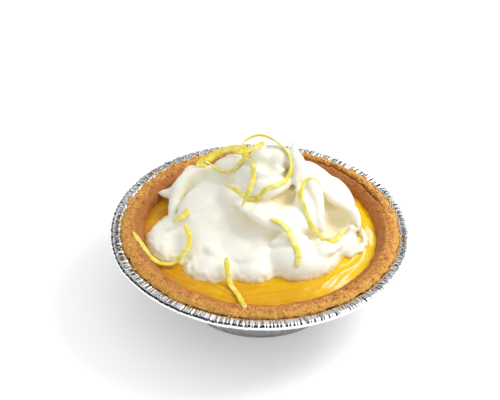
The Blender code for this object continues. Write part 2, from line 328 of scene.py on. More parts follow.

# %% Foil: finish
# Painted shade: the wall below the bead gets a dark base colour, standing in for the shadowed
# floor that it mirrors.
painted_shade_metal, bright_metal = (0.16, 0.165, 0.17), (0.92, 0.93, 0.92)
foil_finish = Finish("bright foil", Metallic=1.0)
rim_clear_of_painted_shade = foil_finish.ramp(foil_finish.axis("Z"), (rim_height - 3.4) * MM, (rim_height - 1.3) * MM)
foil_finish.use("Base Color", foil_finish.blend(rim_clear_of_painted_shade, painted_shade_metal, bright_metal))
foil_finish.use("Roughness", foil_finish.ramp(foil_finish.noise(7), 0.3, 0.7, 0.10, 0.24))
foil_finish.bump(foil_finish.noise(2.2, detail=3), 0.06)
wear(foil_tin, foil_finish)

# %% [markdown]
# ## The crumb crust
#
# The crust is crushed biscuit and butter pressed into the tin, so it has no flaky layers: its
# lip is a bank of small crumbs stuck together, with pits between them, a ragged edge over the
# foil, a shallow crease all round and one long crack where the back of the lip has settled. A
# bump texture alone would leave the edge of the lip as smooth as a machined ring, so the crumbs
# are pushed into a fine turned mesh with Voronoi cells. The mesh also stores how deep its
# crease is. The finish adds the grain too small for the mesh, and it is golden on the lip and
# rusty down the inner wall, and painted shade darkens the crease and the crack by their depth.

# %% Crust: the turned bowl
crust_steps = 660
lip = crust_radius
crust_profile = (
    [(0, 4.8), (20, 4.8), (24, 5.4)]
    + fine_profile([(24, 5.4), (lip - 8.6, filling_level - 3)], 4)
    + fine_profile([(lip - 7.8, filling_level - 1.6), (lip - 6.5, crust_crest - 2.1),
                    (lip - 5.2, crust_crest - 1.0), (lip - 4.0, crust_crest - 0.35),
                    (lip - 2.6, crust_crest - 0.15), (lip - 1.2, crust_crest - 0.4),
                    (lip - 0.3, crust_crest - 0.9), (lip + 0.3, crust_crest - 1.6),
                    (lip + 0.1, crust_crest - 2.4)], 0.42)
    + [(lip - 1.0, crust_crest - 3.0), (lip - 2.2, crust_crest - 4.0), (26.0, 1.8),
       (25.0, 0.9), (0, 0.9)]
)
crust = turn_profile(crust_profile, crust_steps)
bmesh.ops.recalc_face_normals(crust, faces=crust.faces[:])
crust.normal_update()
print("crust profile points:", len(crust_profile))


# %% Crust: crumbs, lumps, the ragged edge and the crack
def crumb_height(point):
    """Rounded crumbs of two sizes with pits between them, in millimetres."""
    coarse = noise.voronoi(point / (1.5 * MM))[0]
    fine = noise.voronoi(point / (0.8 * MM) + Vector((3, 1, 2)))[0]
    return 0.62 * (coarse[1] - coarse[0]) ** 0.5 - 0.38 + 0.40 * (0.42 - fine[0])


crack_start, crack_end = math.radians(12), math.radians(84)


def crack_depth(radius, angle):
    """A crease all round the lip, which opens into a long crack at the back right."""
    middle = lip - 3.3 + 0.7 * noise.noise(Vector((angle * 5, 2.0, 0)))
    ends = smooth_step(angle, crack_start, math.radians(28))
    ends *= 1 - smooth_step(angle, math.radians(70), crack_end)
    width = 0.55 + 0.25 * noise.noise(Vector((angle * 11, 5.0, 0)))
    settled = 0.35 + 0.35 * noise.noise(Vector((math.cos(angle) * 3, math.sin(angle) * 3, 8.0)))
    depth = 1.5 * ends + settled * (1 - ends)
    return depth * math.exp(-((radius - middle) / width) ** 2)


moves = []
crease_layer = crust.verts.layers.float.new("crease")
for vert in crust.verts:
    radius = math.hypot(vert.co.x, vert.co.y) / MM
    height = vert.co.z / MM
    shown = smooth_step(height, filling_level - 2.4, filling_level - 0.6)
    if shown == 0:
        continue
    angle = math.atan2(vert.co.y, vert.co.x)
    pressed = 1 - 0.6 * smooth_step(lip - 4.6 - radius, -0.5, 1.2)
    relief = crumb_height(vert.co) * pressed
    relief += 0.42 * grain(vert.co, 5.0) + 0.25 * grain(vert.co, 2.2, 3)
    outwards = 0.55 * grain(vert.co, 3.4, 8) * smooth_step(radius, lip - 2, lip - 0.5)
    away = Vector((math.cos(angle), math.sin(angle), 0))
    drop = crack_depth(radius, angle) * smooth_step(height, crust_crest - 2.0, crust_crest - 1.0)
    vert[crease_layer] = drop
    moves.append((vert, (vert.normal * relief + away * outwards - Vector((0, 0, drop))) * shown))
for vert, move in moves:
    vert.co += move * MM
crumb_crust = keep_piece("crumb_crust_baked", crust, "crust", "crumb_crust", sharp=180)

# %% Crust: finish
golden, tan, rusty = (0.84, 0.46, 0.11), (0.56, 0.22, 0.045), (0.44, 0.15, 0.04)
toasted_and_crease_shade, burnt = (0.28, 0.08, 0.018), (0.10, 0.025, 0.008)
crust_finish = Finish("baked crumb", Roughness=0.8, Specular_IOR_Level=0.3)
level = crust_finish.add("ShaderNodeVectorMath", {0: crust_finish.place}, operation="MULTIPLY")
level.inputs[1].default_value = (1, 1, 0)
reach = crust_finish.add("ShaderNodeVectorMath", {0: level.outputs[0]}, operation="LENGTH")
radius = crust_finish.add("ShaderNodeMath", {0: reach.outputs["Value"],
                                             1: crust_finish.ramp(crust_finish.noise(3), 0, 1,
                                                                  -0.9 * MM, 0.9 * MM)})
inner_wall = crust_finish.ramp(radius.outputs[0], (lip - 5.0) * MM, (lip - 3.4) * MM, 0.85, 0)
outer_edge = crust_finish.ramp(radius.outputs[0], (lip - 2.0) * MM, (lip - 0.6) * MM, 0, 0.6)
patches = crust_finish.ramp(crust_finish.noise(4.5), 0.40, 0.62, 0, 0.5)
crumbs = crust_finish.ramp(crust_finish.noise(0.7, detail=3), 0.38, 0.62)
specks = crust_finish.ramp(crust_finish.noise(0.6, detail=4, distortion=0.6),
                           0.62, 0.68, 0, 0.7)
pits = crust_finish.ramp(crust_finish.noise(0.75, detail=4), 0.54, 0.70, 0, 0.65)
colour = crust_finish.blend(crumbs, tan, golden)
colour = crust_finish.blend(patches, colour, tan)
colour = crust_finish.blend(inner_wall, colour, rusty)
colour = crust_finish.blend(outer_edge, colour, golden)
colour = crust_finish.blend(pits, colour, toasted_and_crease_shade)
colour = crust_finish.blend(specks, colour, burnt)
# Painted shade: the crease and the crack are darkened by their stored depth, in the same dark as
# the toasted pits.
painted_crease_shade = crust_finish.ramp(crust_finish.stored("crease"), 0.1, 1.1, 0, 0.95)
colour = crust_finish.blend(painted_crease_shade, colour, toasted_and_crease_shade)
crust_finish.use("Base Color", colour)
crust_finish.bump(crust_finish.noise(0.45, detail=3), 0.3)
wear(crumb_crust, crust_finish)

# %% Crust: loose crumbs on the lip and the foil
random.seed(7)
crumb_count = 230
crumb_pile = bmesh.new()
for _ in range(crumb_count):
    angle = random.uniform(0, 2 * math.pi)
    on_foil = random.random() < 0.3
    radius = random.uniform(lip + 0.2, lip + 1.3) if on_foil else random.uniform(lip - 5, lip)
    on_lip = crust_crest - 0.1 - 0.12 * (lip - 2.5 - radius) ** 2
    height = rim_height + 0.15 if on_foil else on_lip
    size = random.uniform(0.18, 0.5)
    centre = Vector((radius * math.cos(angle), radius * math.sin(angle), height)) * MM
    ball = bmesh.ops.create_icosphere(crumb_pile, subdivisions=2, radius=size * MM)
    for vert in ball["verts"]:
        vert.co += vert.co.normalized() * 0.3 * size * MM * grain(vert.co + centre, size)
        vert.co.z *= 0.75
        vert.co += centre
loose_crumbs = keep_piece("loose_crumbs", crumb_pile, "crust", sharp=180)
wear(loose_crumbs, crust_finish)

# %% [markdown]
# ## The lemon filling
#
# The filling is a set custard with a wet shine. A knife has been drawn round it, so it lies in
# low rings that wander and cross, and their wet sides catch the light in long streaks. A flat
# disc with a glossy shader would reflect like a mirror, so the rings are mesh: they are read
# from noise that is stretched round the pie. The finish adds colour, gloss and painted light:
# the custard is painted darker at the left and yellower at the right, where the lamp falls.
# At the right the ridges carry pale streaks, partly a thin film of cream and partly a painted
# highlight, whose strength the mesh stores for the finish to read.

# %% Filling: the turned disc
filling_steps = 420
edge = filling_radius + 1.6
filling_profile = (
    [(0, filling_level), (10, filling_level)]
    + fine_profile([(10, filling_level), (edge, filling_level)], 0.45)
    + [(edge - 0.3, filling_level - 1.2), (edge - 2, filling_level - 2.5),
       (0, filling_level - 2.5)]
)
filling = turn_profile(filling_profile, filling_steps)
print("filling profile points:", len(filling_profile))


# %% Filling: rings left by the knife
def ring_ridge(radius, angle, spacing, seed):
    """Ridges that follow the rim and drift inwards, from 0 to 1."""
    drift = radius + 1.1 * angle
    wander = noise.noise(Vector((math.cos(angle) * 1.6, math.sin(angle) * 1.6, seed)))
    value = noise.noise(Vector((drift / spacing + 2 * wander, seed, angle * 0.9)))
    return 1 - min(1, abs(value) * 2.6)


film_and_highlight_layer = filling.verts.layers.float.new("film_and_highlight")
for vert in filling.verts:
    radius = math.hypot(vert.co.x, vert.co.y) / MM
    if vert.co.z / MM < filling_level - 0.1 or radius < 12:
        continue
    angle = math.atan2(vert.co.y, vert.co.x)
    right = 0.5 + 0.5 * math.cos(angle + math.radians(25))
    ridge = ring_ridge(radius, angle, 3.4, 2.0) ** 2
    streak = ring_ridge(radius, angle, 1.7, 9.0) ** 3
    lift = (0.2 + 0.4 * right) * ridge + (0.03 + 0.2 * right) * streak
    # Where the pale streaks go at the right: partly a thin film of cream, partly a painted
    # highlight on the ridges.
    film_and_highlight_zone = smooth_step(radius, edge - 9, edge - 6)
    film_and_highlight_zone *= 1 - smooth_step(radius, edge - 3, edge - 2)
    film_and_highlight_zone *= smooth_step(angle, -1.1, -0.8) * (1 - smooth_step(angle, 0.0, 0.3))
    vert[film_and_highlight_layer] = film_and_highlight_zone * max(ridge, streak)
    lift += 0.25 * grain(vert.co, 9, 4) + 0.12 * grain(vert.co, 3.5, 6)
    lift -= 0.35 * smooth_step(radius, edge - 3.5, edge - 1.5)
    vert.co.z += (lift - 0.2) * MM
bmesh.ops.recalc_face_normals(filling, faces=filling.faces[:])
lemon_filling = keep_piece("lemon_custard", filling, "lemon_filling", "lemon_filling", sharp=50)

# %% Filling: finish
painted_shade_amber, amber = (0.62, 0.29, 0.010), (0.74, 0.38, 0.008)
cloud_and_painted_light_yellow, pale_film_and_highlight = (0.92, 0.60, 0.006), (0.96, 0.86, 0.50)
custard = Finish("lemon custard", Roughness=0.22, Subsurface_Weight=0.15,
                 Subsurface_Scale=0.002, Subsurface_Radius=(1.0, 0.6, 0.1),
                 Specular_IOR_Level=0.22)
# Painted light and shade: darker at the left, yellower at the right where the lamp falls; the same
# yellow also tints random clouds.
painted_light_across = custard.axis("X")
colour = custard.blend(custard.ramp(painted_light_across, -0.03, 0.0), painted_shade_amber, amber)
colour = custard.blend(custard.ramp(painted_light_across, 0.006, 0.036), colour, cloud_and_painted_light_yellow)
clouds = custard.ramp(custard.noise(8, detail=3), 0.45, 0.75, 0, 0.45)
colour = custard.blend(clouds, colour, cloud_and_painted_light_yellow)
# Painted highlight, partly a film of cream: the stored ridges at the right are turned pale.
streaks = custard.ramp(custard.stored("film_and_highlight"), 0.3, 0.75, 0, 0.85)
colour = custard.blend(streaks, colour, pale_film_and_highlight)
custard.use("Base Color", colour)
custard.use("Roughness", custard.ramp(custard.noise(5), 0.3, 0.7, 0.14, 0.34))
custard.bump(custard.noise(3.0), 0.05)
wear(lemon_filling, custard)

# %% [markdown]
# ## The meringue
#
# The meringue is soft and white, spooned on in a few big swipes and left with the marks of the
# spoon: rolled lobes, ridges where the spoon was lifted, scooped hollows and a swirled peak.
# Pushing a dome about with noise gives lumps but no swipes, so the heap is built as it was
# spooned. Each swipe is a ball drawn out along its own path and flattened. There are two
# stages. The broad swipes are made one body by a voxel Remesh and smoothed well. Then the crisp
# ridges, lips and tips, fluted a little, are laid on them and remeshed again, so that they stay
# sharp. A Boolean takes away the spoon's hollows, and a light smoothing brings the creases to
# the softness of whipped egg white.
#
# Light that gets into a fold of meringue leaves it warmer than it came. So a few rays from each
# point measure how sheltered it is, the mesh stores that, and the finish paints a warm shade into
# the hollows and along the foot.

# %% Meringue: one swipe
def draw_spindle(path, widths, heights, lean, pinch=1.0, flutes=0.0):
    """A ball whose poles are the two ends of the path; pinch above 1 sharpens its crest."""
    path = [Vector(point) for point in path]
    ball = bmesh.new()
    bmesh.ops.create_uvsphere(ball, u_segments=36, v_segments=48, radius=1)
    frames = {}
    for vert in ball.verts:
        around = math.hypot(vert.co.x, vert.co.y)
        t = round(math.atan2(around, -vert.co.z) / math.pi, 4)
        if t not in frames:
            frames[t] = path_frame(path, t, lean)
        middle, side, up = frames[t]
        swell = math.sin(math.pi * t) ** 0.6 if 0 < t < 1 else 0
        turn = math.atan2(vert.co.y, vert.co.x)
        swell *= 1 + flutes * math.sin(9 * turn + 4 * t)
        crest_part = math.sin(turn)
        crest_part = math.copysign(abs(crest_part) ** pinch, crest_part)
        across = math.cos(turn) * along(widths, t) * swell
        above = crest_part * along(heights, t) * swell
        vert.co = (middle + side * across + up * above) * MM
    bmesh.ops.recalc_face_normals(ball, faces=ball.faces[:])
    return ball


# %% Meringue: the broad swipes
# Each swipe has its path, its half widths and half heights at the start, middle and end, its
# lean about its path in degrees, and how sharp its crest is.
broad_swipes = [
    # The heap's core, in two tiers, and the body of the peak on it.
    ([(-31, 2, 21), (0, -1, 22.5), (31, 1, 21)], (15, 22, 15), (6, 7, 6), 0, 1),
    ([(-16, 10, 28), (0, 11, 30), (17, 11, 28)], (9, 12, 9), (8, 9, 7), 0, 1),
    ([(-10, 14, 36), (0, 12, 37.5), (10, 14, 38)], (5, 7.5, 5), (5, 6, 5), 0, 1),
    ([(-4, 17, 41.5), (4, 16.5, 43), (11, 16.5, 42.5)], (4, 5, 3.5), (3, 4, 3.5), 0, 1),
    ([(-18, 18, 34), (-11, 18, 36.5), (-4, 17, 40)], (4, 5, 5), (4, 4.5, 5), 0, 1),
    # The broad slope that falls from the top to the front left, and the cream behind it.
    ([(-12, 19, 34.5), (-15, 9, 30.5), (-17, -4, 26), (-18, -20, 22)], (8, 12, 11), (4, 5, 4.5),
     0, 1),
    ([(-30, 13, 25), (-23, 19, 26.5), (-10, 22, 29)], (5, 8, 8), (4, 5.5, 7), 0, 1),
    # The left lobe and what joins it to the slope.
    ([(-28, 9, 23), (-30, -5, 22), (-27, -18.5, 21.5)], (6, 8, 7.5), (4, 5.4, 4.5), 0, 1),
    ([(-23, 8, 24), (-23, -5, 23.5), (-20, -16, 22.5)], (7, 8, 7), (4, 4.8, 4), 0, 1),
    # The rolls along the front edge.
    ([(-26.5, -18, 21.5), (-14.5, -19.5, 22), (-1, -19, 22)], (6.5, 7.5, 6.5), (4, 5, 5), 0, 1),
    ([(-11, -18, 22.5), (-2, -20.5, 22.5), (7, -17, 22.5)], (5, 6.5, 5), (3, 5, 4), 0, 1),
    ([(1, -14, 23), (13, -15.5, 23.5), (26, -12, 23)], (8, 9.8, 8), (6, 7, 6), 0, 1),
    ([(22, -12, 23), (27.5, -6, 23), (29, 4, 23)], (5, 5, 4), (4.5, 5, 3.5), 0, 1),
    ([(29, -4, 23), (29.5, 6, 23.5), (29, 17, 25)], (2.5, 4, 4), (2.5, 3.5, 3.5), 0, 1),
    # The right lobe's floor, its outer sheet, and what joins it to the peak and the back.
    ([(18, 14, 27), (24, 6, 25), (27, -4, 24.5)], (7, 8, 6), (5, 4, 3.5), 0, 1),
    ([(13, 19, 30.5), (23, 15, 28.5), (32.5, 9, 24.5)], (8, 8.5, 5), (5, 4.5, 3), 0, 1),
    ([(8, 12, 33), (14, 14, 33), (20, 15, 30)], (6, 7, 5), (6, 6, 4), 0, 1),
    ([(13, 11, 33), (15.5, 3, 31.5), (19, -7, 28)], (4.5, 6, 4.5), (4, 4.4, 3.5), 0, 1),
    ([(2, 0, 31), (9, -3, 31), (16, -6, 29.5)], (5, 6, 5), (3.5, 4, 3.5), 0, 1),
    ([(8, 20, 31), (16, 24, 28.5), (26, 26, 25.5)], (7, 8, 4), (7, 6, 3.5), 0, 1),
    # The body of the tongue that droops over the front, and its join to the peak.
    ([(-9, 4, 31), (2, -1, 30.5), (14, -5, 29)], (5, 8, 7), (3.5, 4.5, 4), 0, 1),
    ([(-14, 8, 34), (-8, 5, 34), (-2, 3, 33)], (4, 5, 4), (4, 4, 3), 0, 1),
]
print("broad swipes:", len(broad_swipes))

# %% Meringue: the crisp ridges, lips and tips
crisp_swipes = [
    # The left edge of the slope, and the wisp behind it.
    ([(-15, 23, 34), (-24, 19, 31.3), (-28, 12, 28.3), (-30, 3, 25.5)], (2, 3.2, 2.5),
     (2.5, 3.4, 2.0), 12, 1.4),
    ([(-24, 15, 28), (-30, 17, 26.3), (-36, 18.7, 25)], (4, 3, 0.8), (2.5, 1.6, 0.6), 0, 1.2),
    ([(-20, 24, 29.5), (-24, 23.5, 29.5), (-28, 22, 27)], (4, 3.6, 1.5), (2.5, 2.8, 1.5), 0, 1.2),
    # Folds where the spoon ran out over the front.
    ([(-19, -9, 26.6), (-14.5, -15, 26.4), (-11, -20, 25.2)], (1.5, 2.6, 1.6), (0.7, 1.4, 0.8), 0,
     1.3),
    ([(-9.5, -18, 26.4), (-3, -18, 27), (3, -14, 28)], (2, 3, 2), (1, 1.7, 1), 0, 1.3),
    ([(3, -14, 29), (9, -11, 30), (16, -10, 29.8)], (1.5, 2.8, 2), (1, 1.6, 1), 0, 1.3),
    ([(13, -20, 27), (21, -14, 28.5), (27, -10, 27.5)], (2, 3.6, 2.5), (1.2, 1.8, 1.2), 0, 1.2),
    # The tongue.
    ([(-11, 5, 33.5), (-4, -1, 33), (5, -5, 32), (14, -7, 30.5)], (3.5, 5.5, 5), (2.5, 3.5, 3),
     -12, 1),
    # The swirled peak: two rolls round its front, its right shoulder and its two tips.
    ([(-9, 10, 38), (-2, 5.6, 37.5), (5, 6, 37.8), (10.5, 10, 39)], (2.5, 3.8, 2.5),
     (2.5, 4, 3), 0, 1.2),
    ([(-7, 11, 42), (0, 8.6, 41.5), (8, 10.5, 42)], (2, 2.8, 2), (1.8, 2.4, 1.8), 0, 1.4),
    ([(11, 7, 38), (12, 12, 41.5), (10.8, 17, 44.5), (10.3, 20, 48)], (2.5, 2.8, 0.6),
     (3, 3, 0.8), 0, 1.3),
    ([(-4, 13, 42), (-0.5, 13.5, 45.5), (1, 15.5, 49)], (4, 3, 0.6), (3, 3, 0.8), 0, 1.2),
    # The right lobe: a standing ridge, a lesser one beside it and the outer sheet's lip.
    ([(14, 17, 34), (16.5, 11, 35.5), (18.7, 2, 33.2), (20.5, -7, 29)], (2, 2.8, 2),
     (2.2, 3, 2.2), 0, 1.6),
    ([(12, 10, 37), (13.2, 3, 34.6), (16, -5, 31.5)], (1.8, 2.6, 1.8), (1.6, 2.2, 1.4), 0, 1.3),
    ([(19, 12, 33.5), (25, 8, 32), (31, 5, 29), (33, -1, 26)], (2.5, 3, 1.5), (1.5, 2.2, 1.5), 0,
     1.3),
    ([(9, 22, 34), (16, 24, 31.5), (25, 26.5, 27.5)], (3, 4, 1.2), (3, 3, 1.2), 0, 1.3),
    # A thin hook of cream dragged round a patch of the filling at the right.
    ([(31, 5, 25), (34.6, -1, 24.2), (34, -7, 24), (29, -12.5, 24)], (1.4, 1.2, 1.6),
     (1, 0.9, 1.2), 0, 1),
    ([(25, -3, 28), (29, -2, 28), (32.5, -1, 26)], (1.6, 1.8, 0.8), (1.6, 1.6, 0.6), 0, 1.4),
]
print("crisp swipes:", len(crisp_swipes))

# %% Meringue: the hollows that the spoon left
scoops = [
    ([(2, 2.5, 36), (7.5, 4, 35.2), (12.5, 6.5, 35)], (1, 2.4, 2), (0.8, 2.2, 2), 0, 1),
    ([(22.5, 6, 31.5), (25.3, 1, 28.8), (28, -5.5, 28.4)], (2.4, 4.8, 3.2), (2.4, 4.3, 2.7), 0, 1),
    ([(-3, 9.5, 45.5), (2.5, 9, 44.6), (8, 11.5, 45.5)], (1.5, 3.2, 1.8), (1.5, 2.8, 1.5), 0, 1),
    ([(-10.5, 8.5, 41.5), (-7.5, 6.5, 40.5), (-4, 5, 40.5)], (1.2, 2, 1.2), (1.2, 1.8, 1.2), 0, 1),
    ([(-10, 1, 34), (-5, -8, 32), (5, -14, 32.5)], (3, 4, 3), (2, 3, 2), 0, 1),
]
print("scoops:", len(scoops))


# %% Meringue: one body from the swipes, less the hollows
def spindle_object(name, spindles, flutes=0.0, bedding=None):
    """A working object that holds all the spindles, and the bedding mesh if there is one."""
    shape = bmesh.new()
    mesh = bpy.data.meshes.new(name)
    for path, widths, heights, lean, pinch in spindles:
        ball = draw_spindle(path, widths, heights, lean, pinch, flutes)
        ball.to_mesh(mesh)
        ball.free()
        shape.from_mesh(mesh)
    if bedding:
        shape.from_mesh(bedding)
    shape.to_mesh(mesh)
    shape.free()
    working = bpy.data.objects.new(name, mesh)
    bpy.context.scene.collection.objects.link(working)
    return working


def settle(working, *modifier_settings):
    """Adds the modifiers in turn and gives the mesh that they make."""
    for kind, settings in modifier_settings:
        modifier = working.modifiers.new(kind.lower(), kind)
        for key, value in settings.items():
            setattr(modifier, key, value)
    graph = bpy.context.evaluated_depsgraph_get()
    mesh = bpy.data.meshes.new_from_object(working.evaluated_get(graph))
    bpy.data.objects.remove(working)
    return mesh


voxels = ("REMESH", {"mode": "VOXEL", "voxel_size": 0.45 * MM})
bedding = settle(spindle_object("broad", broad_swipes), voxels,
                 ("SMOOTH", {"iterations": 60, "factor": 0.5}))
heap = spindle_object("crisp", crisp_swipes, 0.02, bedding)
heap = bpy.data.objects.new("heap", settle(heap, voxels))
spoon = bpy.data.objects.new("spoon", settle(spindle_object("scoops", scoops), voxels))
for working in (heap, spoon):
    bpy.context.scene.collection.objects.link(working)
carve = ("BOOLEAN", {"operation": "DIFFERENCE", "solver": "MANIFOLD", "object": spoon})
heap_mesh = settle(heap, carve, voxels, ("SMOOTH", {"iterations": 6, "factor": 0.5}))
bpy.data.objects.remove(spoon)
print("meringue heap:", len(heap_mesh.polygons), "faces")

# %% Meringue: soft unevenness, and a flat foot that sinks into the filling
def streak(point):
    """Shallow drag marks that run down and away from the peak, in millimetres."""
    x, y = point.x / MM, point.y / MM - 12
    away = math.hypot(x, y)
    angle = math.atan2(y, x) + 0.5 * noise.noise(Vector((x / 12, y / 12, 3.0)))
    across = Vector((4.5 * math.cos(angle), 4.5 * math.sin(angle), away / 22))
    return 0.42 * noise.noise(across) * smooth_step(away, 9, 15)


cream = bmesh.new()
cream.from_mesh(heap_mesh)
cream.normal_update()
for vert in cream.verts:
    soft = 0.35 * grain(vert.co, 9) + 0.2 * grain(vert.co, 3.6, 5) + 0.05 * grain(vert.co, 1.7, 9)
    soft += 0.6 * grain(vert.co, 1.7, 2) * (1 - smooth_step(vert.co.z / MM, 24.0, 26.5))
    soft += streak(vert.co)
    vert.co += vert.normal * soft * MM
everything = cream.verts[:] + cream.edges[:] + cream.faces[:]
cut = bmesh.ops.bisect_plane(cream, geom=everything, clear_inner=True, plane_no=(0, 0, 1),
                             plane_co=(0, 0, (filling_level - 0.4) * MM))
foot = [item for item in cut["geom_cut"] if isinstance(item, bmesh.types.BMEdge)]
bmesh.ops.holes_fill(cream, edges=foot)
bmesh.ops.recalc_face_normals(cream, faces=cream.faces[:])
meringue = keep_piece("whipped_meringue", cream, "meringue", "meringue", sharp=180)
high = max(vert.co.z for vert in meringue.data.vertices)
print("meringue peak, mm:", round(high / MM, 1))

# %% Meringue: where its hollows are
# The rays spread about the way a point faces: each leans by the arcsine of a root, and is
# turned from the one before it by about the golden angle, in radians.
ray_leans = (0.1, 0.3, 0.5, 0.6, 0.7, 0.8, 0.85, 0.9)
ray_turn = 2.4


def shelter(piece, reach=9.0, smoothing=12):
    """Writes how much of the sky each point can't see, from 0 to 1, as an attribute."""
    mesh = piece.data
    skin = [tuple(face.vertices) for face in mesh.polygons if len(face.vertices) <= 4]
    body = BVHTree.FromPolygons([vert.co.copy() for vert in mesh.vertices], skin)
    turns = [Vector((math.cos(ray_turn * i) * math.sqrt(lean),
                     math.sin(ray_turn * i) * math.sqrt(lean), math.sqrt(1 - lean)))
             for i, lean in enumerate(ray_leans)]
    values = []
    for vert in mesh.vertices:
        face_out = vert.normal.to_track_quat("Z", "Y")
        start = vert.co + vert.normal * 0.3 * MM
        hits = sum(1 for turn in turns if body.ray_cast(start, face_out @ turn, reach * MM)[0])
        values.append(hits / len(turns))
    values = np.array(values)
    ends = np.array([tuple(edge.vertices) for edge in mesh.edges])
    neighbours = np.bincount(ends.ravel(), minlength=len(values))
    for _ in range(smoothing):
        total = np.bincount(ends[:, 0], values[ends[:, 1]], len(values))
        total += np.bincount(ends[:, 1], values[ends[:, 0]], len(values))
        values = 0.5 * values + 0.5 * total / np.maximum(neighbours, 1)
    sheltered = mesh.attributes.new("sheltered", "FLOAT", "POINT")
    sheltered.data.foreach_set("value", values)


shelter(meringue)
print("meringue: hollows marked")

# %% Meringue: finish
white, ivory, warm_shade = (0.93, 0.92, 0.83), (0.91, 0.895, 0.78), (0.88, 0.77, 0.46)
whipped = Finish("whipped meringue", Roughness=0.45, Subsurface_Weight=0.2,
                 Subsurface_Scale=0.002, Subsurface_Radius=(1.0, 0.8, 0.5))
colour = whipped.blend(whipped.ramp(whipped.noise(9), 0.35, 0.7), white, ivory)
# Painted shade: the sheltered hollows are coloured warm.
hollows = whipped.ramp(whipped.stored("sheltered"), 0.15, 0.7, 0, 0.9)
colour = whipped.blend(hollows, colour, warm_shade)
# Painted shade along the foot: the lowest two millimetres or so are coloured warm.
painted_foot_shade = whipped.ramp(whipped.axis("Z"), (filling_level + 0.2) * MM,
                         (filling_level + 2.4) * MM, 0.7, 0)
colour = whipped.blend(painted_foot_shade, colour, warm_shade)
whipped.use("Base Color", colour)
whipped.use("Roughness", whipped.ramp(whipped.noise(4), 0.3, 0.7, 0.38, 0.58))
whipped.bump(whipped.noise(1.6), 0.05)
wear(meringue, whipped)

# %% [markdown]
# ## The strips of zest
#
# The zest was cut with a zester: strips of outer peel about one and a half millimetres wide,
# which dry into curls and stand up on the meringue. Each strip is a bar whose points are
# moved beside a smooth path. Where the path would run through the meringue or the crust the
# strip is lifted on to it, and sunk just enough to look laid there.

# %% Zest: the routes
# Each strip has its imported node, the points of its path, its width and its lean at both ends.
zest_strips = [
    ("zest_stub", [(-28.5, -4, 30), (-26.5, -3.5, 31), (-25, -1.5, 31), (-24, 1.5, 31)], 1.8,
     (0, 0)),
    ("zest_left_curl", [(-24.5, -5.5, 30), (-23, -10, 29), (-23, -14, 28), (-24.5, -17, 27),
                        (-27, -19, 25), (-30, -19.5, 24.5), (-33, -18.5, 24.5),
                        (-36, -15.5, 25), (-39, -11, 26), (-41.5, -6.5, 27)], 1.6, (0, 0)),
    ("zest_small_loop", [(-19.5, 20, 37), (-17, 20, 39), (-13.5, 22, 41), (-8.5, 22, 42.5),
                         (-5.5, 20, 42.5), (-7.5, 14.5, 40.5), (-12, 13, 38.5),
                         (-16, 16.5, 38), (-18, 17, 40), (-15.5, 19.5, 41.5),
                         (-10.5, 20, 43.3), (-6.5, 17.5, 43.5)], 2.2, (20, 30)),
    ("zest_drop", [(-6.5, 17, 44.5), (-3, 10.5, 43.5), (-2.5, 6.5, 42), (-4, -1, 41),
                   (-6, -2, 36)], 1.5, (0, 0)),
    ("zest_big_loop", [(-12, 8, 37), (-7, 3, 36), (-1, 1.5, 36), (5.5, 4, 38), (9.5, 9, 42),
                       (9.5, 13, 44.5), (7, 16, 47), (2.5, 18.5, 49), (-1.5, 18.5, 50),
                       (-5.5, 16, 49.5), (-7.5, 12, 48)], 1.5, (30, 60)),
    ("zest_top", [(-8, 7.5, 50), (-3.5, 9.5, 50.5), (0.5, 13.5, 50.5)], 1.9, (0, 0)),
    ("zest_tag", [(-20.5, 21, 33), (-20.5, 24, 34), (-19, 26, 35.5)], 3.2, (0, 0)),
    ("zest_right_loop", [(20, 10, 34), (17.5, 11.5, 36.5), (14.5, 10, 36.5), (13, 3.5, 34.5),
                         (15.5, -3.5, 31.5), (20, -9.5, 29.5), (22.5, -12, 29.5),
                         (24.5, -11.5, 30), (28, -5.5, 30.5)], 1.6, (20, 20)),
    ("zest_middle", [(3.5, -7.5, 35), (8, -10, 34), (11, -15, 31), (12.5, -19.5, 29),
                     (12, -23, 27)], 1.9, (0, 0)),
    ("zest_front", [(-10.5, -21, 29), (-10, -25, 27), (-9, -28, 24), (-6.5, -33, 24),
                    (-5, -38, 25), (-4, -43, 27)], 1.7, (0, 0)),
]
zest_thickness = 0.6
middle_above_bed = 0.12
print("strips of zest:", len(zest_strips))


# %% Zest: what the strips lie on
def probe(piece):
    """The piece's surface, ready to be hit by a ray from above."""
    mesh = piece.data
    corners = [vert.co.copy() for vert in mesh.vertices]
    return BVHTree.FromPolygons(corners, [tuple(face.vertices) for face in mesh.polygons])


beds = [probe(piece) for piece in (crumb_crust, lemon_filling, meringue)]


def bed_height(point):
    """The highest surface under a place, in millimetres."""
    above = Vector((point.x * MM, point.y * MM, 0.2))
    hits = [bed.ray_cast(above, Vector((0, 0, -1)))[0] for bed in beds]
    return max([filling_level] + [hit.z / MM for hit in hits if hit])


